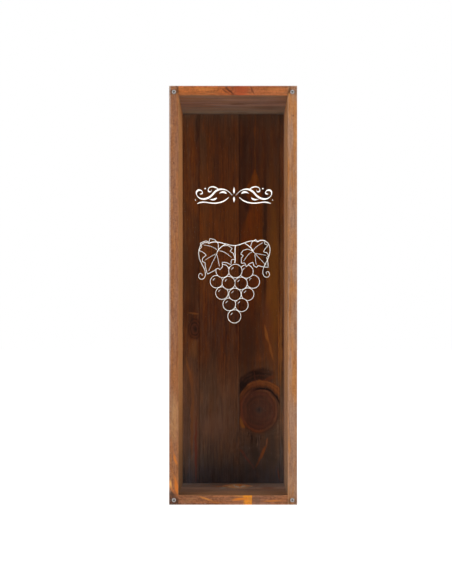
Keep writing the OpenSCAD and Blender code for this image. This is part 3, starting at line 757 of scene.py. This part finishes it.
# Cane, stalks and tendrils
cane = curve((-21, 224.5), (-14, 228.5), (-5, 222.0), (2.5, 222.8), (8, 223.4), (14, 228.5), (22, 226.2))
drawn.append((cane, [0.52] * len(cane)))
for points, width in ((((2.0, 222.6), (1.0, 218), (2.4, 213), (1.4, 208)), 0.6),
                      (((-13.5, 217.5), (-12.5, 220), (-9, 222.5), (-6.5, 223.9)), 0.48),
                      (((17.5, 217.0), (16.5, 220), (13.0, 223), (10, 224.6)), 0.48)):
    line = curve(*points)
    drawn.append((line, [width] * len(line)))
left_tendril = ((-20.5, 224.8), (-26, 227), (-30.5, 222), (-29.4, 214), (-28.6, 207), (-23.5, 204),
                (-23.8, 197.5), (-24, 193), (-29.8, 192.4), (-29.6, 196.6), (-29.4, 199.6),
                (-26.2, 199.2), (-26.6, 196.8))
right_tendril = ((21.5, 226.4), (28, 229), (33, 224), (31.4, 216), (30, 209), (24.5, 204),
                 (25.6, 198.5), (26.6, 193.8), (32.4, 195), (31, 199.0), (30, 201.6), (27.6, 200.4),
                 (28.6, 198.2))
for points in (left_tendril, right_tendril):
    line = curve(*points)
    drawn.append((line, [0.38 - 0.11 * i / len(line) for i in range(len(line))]))

# Grapes in five rows, those in the middle in front of the others
grapes = []
for count, z in ((3, 200.5), (4, 191.0), (3, 181.4), (2, 171.6), (1, 161.2)):
    for i in range(count):
        grapes.append((1.4 + (i - (count - 1) / 2) * 10.6 + random.uniform(-0.6, 0.6),
                       z + random.uniform(-0.8, 0.8), random.uniform(5.3, 5.8)))
grapes.sort(key=lambda g: abs(g[0] - 1.2) + 0.15 * abs(g[1] - 185) + random.uniform(0, 4))


def hidden(p, number):
    """Whether a leaf or one of the grapes before this one covers a point."""
    if any((p - Vector(g[:2])).length < g[2] for g in grapes[:number]):
        return True
    return any(inside(p, outline) for outline in masks)


dots = 56
for number, (x, z, r) in enumerate(grapes):
    around = [Vector((x + r * math.cos(math.tau * k / dots), z + r * math.sin(math.tau * k / dots)))
              for k in range(dots)]
    covered = [hidden(p, number) for p in around]
    start = covered.index(True) if True in covered else 0
    runs = [[]]
    for k in range(start, start + dots + 1):
        if covered[k % dots]:
            runs.append([])
        else:
            runs[-1].append(around[k % dots])
    drawn += [(run, [0.34] * len(run)) for run in runs if len(run) > 2]
    turns = [math.radians(d) for d in range(115, 161, 9)]
    glint = [Vector((x + 0.58 * r * math.cos(a), z + 0.58 * r * math.sin(a))) for a in turns]
    last = len(glint) - 1
    if not any(hidden(p, number) for p in glint):
        drawn.append((glint, [0.17 + 0.16 * math.sin(math.pi * i / last) for i in range(last + 1)]))
strokes_mesh("print_grapes", drawn)


# Cover screws: four zinc-plated steel screws, 2.2 by 13 mm, with pan heads, a cross recess and a
# rolled wood-screw thread. One holds each corner of the cover, turned home at its own angle.

# Barrel zinc plate is silvery and scatters part of the light, so it is only half metallic. Its grain is
# drawn coarser than it is, so that it shows.
zinc = grained("zinc_screw", size=0.833, detail=3, colours=((0.3, "#96918f", 1), (0.65, "#c6bebb", 1)),
               roughness=(0.3, 0.45), relief=0.25, depth=0.01, metallic=0.5)
tree = zinc["tree"]

# Painted shade round the rims and in the recesses, which lie within 1 mm of each screw's axis and below
# its crown: a painted reflection of the dark wood on each rim, and painted shade in each recess
low, high = (1000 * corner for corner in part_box("screw_bottom_right"))
lower_z = (low.z + high.z) / 2
screw_x = (low.x + high.x) / 2
crown_y = -low.y
low, high = (1000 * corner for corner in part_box("screw_top_right"))
upper_z = (low.z + high.z) / 2
spot = put(tree, "ShaderNodeMapping", {
    "Vector": zinc["coord"].outputs["Object"], "Location": (0, 0, -(lower_z + upper_z) / 2),
    "Scale": (1000, 1000, 1000)}).outputs[0]
spot = put(tree, "ShaderNodeVectorMath", {0: spot}, operation="ABSOLUTE").outputs[0]
spot = put(tree, "ShaderNodeVectorMath", {
    0: spot, 1: (screw_x, 0, (upper_z - lower_z) / 2)}, operation="SUBTRACT").outputs[0]
forward = put(tree, "ShaderNodeSeparateXYZ", {0: spot}).outputs[1]
off = put(tree, "ShaderNodeVectorMath", {0: spot, 1: (1, 0, 1)}, operation="MULTIPLY").outputs[0]
off = put(tree, "ShaderNodeVectorMath", {0: off}, operation="LENGTH").outputs[1]
rim = put(tree, "ShaderNodeMapRange", {0: off, 1: 1.4, 2: 1.75, 4: 0.65}).outputs[0]
off = put(tree, "ShaderNodeMapRange", {0: off, 1: 1.12, 2: 1.0}).outputs[0]
shallow, deep = 0.07, 0.37
sunk = put(tree, "ShaderNodeMapRange", {0: forward, 1: crown_y - shallow, 2: crown_y - deep}).outputs[0]
recess_and_rim_shade = times(zinc, off, sunk, 0.7)
recess_and_rim_shade = put(tree, "ShaderNodeMath", {0: recess_and_rim_shade, 1: rim}, operation="MAXIMUM").outputs[0]
over(zinc, recess_and_rim_shade, linear("#35302b"))

# The shank, drawn point up: a core, a cone for its point and a thread that runs round both
shank = bpy.data.node_groups.new("screw_shank", "GeometryNodeTree")
shank_inputs = {}
for label, value in (("Thread diameter", 0.0022), ("Core diameter", 0.00155), ("Pitch", 0.0009),
                     ("Threaded length", 0.0106), ("Point length", 0.0024), ("Plating", zinc["material"])):
    kind = "NodeSocketMaterial" if label == "Plating" else "NodeSocketFloat"
    socket = shank.interface.new_socket(label, in_out="INPUT", socket_type=kind)
    shank_inputs[socket.identifier] = value
shank.interface.new_socket("Geometry", in_out="OUTPUT", socket_type="NodeSocketGeometry")
given = put(shank, "NodeGroupInput").outputs
core_r = put(shank, "ShaderNodeMath", {0: given["Core diameter"], 1: 0.5}, operation="MULTIPLY").outputs[0]
crest = put(shank, "ShaderNodeMath", {0: given["Thread diameter"], 1: given["Core diameter"]},
            operation="SUBTRACT").outputs[0]
crest = put(shank, "ShaderNodeMath", {0: crest, 1: 0.5}, operation="MULTIPLY").outputs[0]
turns = put(shank, "ShaderNodeMath", {0: given["Threaded length"], 1: given["Pitch"]},
            operation="DIVIDE").outputs[0]
point_turns = put(shank, "ShaderNodeMath", {0: given["Point length"], 1: given["Pitch"]},
                  operation="DIVIDE").outputs[0]
ridge = put(shank, "GeometryNodeCurvePrimitiveCircle", {"Resolution": 3, "Radius": crest}).outputs[0]
core = put(shank, "GeometryNodeMeshCylinder", {
    "Vertices": 24, "Radius": core_r, "Depth": given["Threaded length"]}).outputs[0]
half_up = put(shank, "ShaderNodeMath", {0: given["Threaded length"], 1: 0.5}, operation="MULTIPLY").outputs[0]
lift = put(shank, "ShaderNodeCombineXYZ", {2: half_up}).outputs[0]
core = put(shank, "GeometryNodeTransform", {0: core, "Translation": lift}).outputs[0]
cone = put(shank, "GeometryNodeMeshCone", {
    "Vertices": 24, "Radius Top": 0.00005, "Radius Bottom": core_r,
    "Depth": given["Point length"]}).outputs[0]
top = put(shank, "ShaderNodeCombineXYZ", {2: given["Threaded length"]}).outputs[0]
cone = put(shank, "GeometryNodeTransform", {0: cone, "Translation": top}).outputs[0]
threads = []
for length, rounds, end_r, base in ((given["Threaded length"], turns, core_r, None),
                                    (given["Point length"], point_turns, 0.0001, top)):
    path = put(shank, "GeometryNodeCurveSpiral", {
        "Resolution": 24, "Rotations": rounds, "Start Radius": core_r, "End Radius": end_r,
        "Height": length}).outputs[0]
    path = put(shank, "GeometryNodeSetCurveNormal", {0: path}, mode="Z_UP").outputs[0]
    thread = put(shank, "GeometryNodeCurveToMesh", {0: path, 1: ridge, "Fill Caps": True}).outputs[0]
    threads.append(put(shank, "GeometryNodeTransform",
                       {0: thread, "Translation": base or (0, 0, 0)}).outputs[0])
joined = put(shank, "GeometryNodeJoinGeometry")
for part in (core, cone, *threads):
    shank.links.new(part, joined.inputs[0])
real = put(shank, "GeometryNodeRealizeInstances", {0: joined.outputs[0]}).outputs[0]
plated = put(shank, "GeometryNodeSetMaterial", {0: real, "Material": given["Plating"]}).outputs[0]
put(shank, "NodeGroupOutput", {0: plated})

# The head, with its underside at z = 0: a low dome over a short rim, 3.8 by 1.6 mm
head_r, head_h, rim_h, under_round = 1.9, 1.6, 0.55, 0.08
dome_rings, sides = 12, 48
dome_r = (head_r ** 2 + (head_h - rim_h) ** 2) / (2 * (head_h - rim_h))
profile = [(0.0, 0.0), (head_r - under_round, 0.0), (head_r, -under_round), (head_r, -rim_h)]
for k in range(1, dome_rings + 1):
    angle = math.asin(head_r / dome_r) * (1 - k / dome_rings)
    profile.append((dome_r * math.sin(angle), dome_r - head_h - dome_r * math.cos(angle)))
verts = [(0, 0, profile[0][1] / 1000), (0, 0, profile[-1][1] / 1000)]
for r, z in profile[1:-1]:
    for k in range(sides):
        angle = math.tau * k / sides
        verts.append((r * math.cos(angle) / 1000, r * math.sin(angle) / 1000, z / 1000))
rings = len(profile) - 2
faces = []
for k in range(sides):
    n = (k + 1) % sides
    faces.append((0, 2 + k, 2 + n))
    faces.append((1, 2 + (rings - 1) * sides + n, 2 + (rings - 1) * sides + k))
    for ring in range(rings - 1):
        a, b = 2 + ring * sides, 2 + (ring + 1) * sides
        faces.append((a + k, b + k, b + n, a + n))
dome = bpy.data.meshes.new("head")
dome.from_pydata(verts, [], faces)
dome.materials.append(zinc["material"])

# The cross recess: two slots that narrow to their bottoms, cut a little wide so that they show
recess_h, recess_half, foot_half, slot_half, above = 0.95, 1.2, 0.5, 0.32, 0.4
cutters = []
for turned in (0, 90):
    slot_mesh = bpy.data.meshes.new("recess")
    corners = []
    for z, half in ((-head_h - above, recess_half), (-head_h + recess_h, foot_half)):
        corners += [(sx * half / 1000, sy * slot_half / 1000, z / 1000)
                    for sx, sy in ((-1, -1), (1, -1), (1, 1), (-1, 1))]
    sides_of_slot = [(0, 1, 5, 4), (1, 2, 6, 5), (2, 3, 7, 6), (3, 0, 4, 7)]
    slot_mesh.from_pydata(corners, [], [(0, 3, 2, 1), (4, 5, 6, 7), *sides_of_slot])
    slot_mesh.transform(Matrix.Rotation(math.radians(turned), 4, "Z"))
    cutter = bpy.data.objects.new("recess", slot_mesh)
    bpy.context.scene.collection.objects.link(cutter)
    cutters.append(cutter)

# Each screw, turned home at its own angle and laid with its head to the front
facing_front = Matrix.Rotation(math.radians(-90), 4, "X")
for node, body, turned in (("screw_top_left", "top_left_screw", 20),
                           ("screw_top_right", "top_right_screw", 65),
                           ("screw_bottom_left", "bottom_left_screw", 40),
                           ("screw_bottom_right", "bottom_right_screw", 8)):
    head = bpy.data.objects.new(node + "_head", dome.copy())
    blank = bpy.data.objects.new(node + "_shank", bpy.data.meshes.new("shank"))
    for part in (head, blank):
        bpy.context.scene.collection.objects.link(part)
    for cutter in cutters:
        cut = head.modifiers.new("recess", "BOOLEAN")
        cut.operation, cut.object, cut.solver = "DIFFERENCE", cutter, "EXACT"
    grown = blank.modifiers.new("shank", "NODES")
    grown.node_group = shank
    for identifier, value in shank_inputs.items():
        grown[identifier] = value
    low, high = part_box(node)
    seat = Matrix.Translation(((low.x + high.x) / 2, low.y + head_h / 1000, (low.z + high.z) / 2))
    for part in (head, blank):
        shown = part.evaluated_get(bpy.context.evaluated_depsgraph_get())
        made = bpy.data.meshes.new_from_object(shown)
        made.transform(seat @ facing_front @ Matrix.Rotation(math.radians(turned), 4, "Z"))
        part.modifiers.clear()
        part.data = made
        made.materials.clear()
        made.materials.append(zinc["material"])
        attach(part, body)
    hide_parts(node)
for cutter in cutters:
    bpy.data.objects.remove(cutter)


# Stage: a white table in a white studio, with two soft boxes well to the sides. The room is dark
# behind the camera, in front of the box, so that its cover reflects little.

def seen(tree):
    """1 for the rays that show the background: the camera's own, and those that metal or a clear sheet
    sends on."""
    ray = put(tree, "ShaderNodeLightPath").outputs
    direct = put(tree, "ShaderNodeMath", {
        0: ray["Is Camera Ray"], 1: ray["Is Glossy Ray"]}, operation="MAXIMUM").outputs[0]
    return put(tree, "ShaderNodeMath", {0: direct, 1: ray["Is Transmission Ray"]},
               operation="MAXIMUM").outputs[0]


# Half the table's width and how far it lies under the box, in metres, and the glow that brings it to
# white for the camera
table_half, drop, table_glow = 15, 0.00005, 0.72
mesh = bpy.data.meshes.new("table")
mesh.from_pydata([(-table_half, -table_half, -drop), (table_half, -table_half, -drop),
                  (table_half, table_half, -drop), (-table_half, table_half, -drop)], [], [(0, 1, 2, 3)])
table = bpy.data.objects.new("table", mesh)
bpy.context.scene.collection.objects.link(table)
table.visible_glossy = table.visible_transmission = False
white_table, tree = empty_material("white_table")
paint = put(tree, "ShaderNodeBsdfDiffuse", {"Color": linear("#f4f4f4")})
glow = put(tree, "ShaderNodeMath", {0: seen(tree), 1: table_glow}, operation="MULTIPLY").outputs[0]
shine = put(tree, "ShaderNodeEmission", {"Color": (1, 1, 1, 1), "Strength": glow})
both = put(tree, "ShaderNodeAddShader", {0: paint.outputs[0], 1: shine.outputs[0]})
put(tree, "ShaderNodeOutputMaterial", {0: both.outputs[0]})
table.data.materials.append(white_table)

# The room's own light on the box, as a share of white, and how dark the room is behind the camera
room_light, dark_side = 0.40, 0.02
world = bpy.data.worlds.new("daylight")
world.use_nodes = True
tree = world.node_tree
tree.nodes.clear()
coord = put(tree, "ShaderNodeTexCoord")
backward = put(tree, "ShaderNodeSeparateXYZ", {0: coord.outputs["Generated"]}).outputs[1]
room = put(tree, "ShaderNodeMapRange", {0: backward, 1: -0.96, 2: -0.45, 3: dark_side},
           interpolation_type="SMOOTHSTEP").outputs[0]
ray = put(tree, "ShaderNodeLightPath")
shown = put(tree, "ShaderNodeMix", {0: ray.outputs["Glossy Depth"], 2: 1.0, 3: room}).outputs[0]
level = put(tree, "ShaderNodeMix", {0: seen(tree), 2: room_light, 3: shown}).outputs[0]
sky = put(tree, "ShaderNodeBackground", {"Color": (1, 1, 1, 1), "Strength": level})
put(tree, "ShaderNodeOutputWorld", {0: sky.outputs[0]})
bpy.context.scene.world = world

for name, x in (("left_soft_box", -1.7), ("right_soft_box", 1.7)):
    lamp = bpy.data.lights.new(name, "AREA")
    lamp.shape = "SQUARE"
    lamp.size = 0.8
    lamp.energy = 38
    soft_box = bpy.data.objects.new(name, lamp)
    bpy.context.scene.collection.objects.link(soft_box)
    soft_box.location = (x, -1.8, 0.5)
    soft_box.visible_glossy = soft_box.visible_transmission = False
    aim = Vector((0, 0, 0.18)) - soft_box.location
    soft_box.rotation_euler = aim.to_track_quat("-Z", "Y").to_euler()

camera = bpy.data.objects.new("camera", bpy.data.cameras.new("camera"))
bpy.context.scene.collection.objects.link(camera)
camera.location = (0.0014, -1.2207, 0.143)
camera.rotation_euler = (math.radians(90), 0, 0)
camera.data.lens = 83.8
camera.data.sensor_width = 36
camera.data.shift_x = -0.0150
camera.data.shift_y = 0.0794
bpy.context.scene.camera = camera
bpy.context.scene.view_settings.view_transform = "Standard"
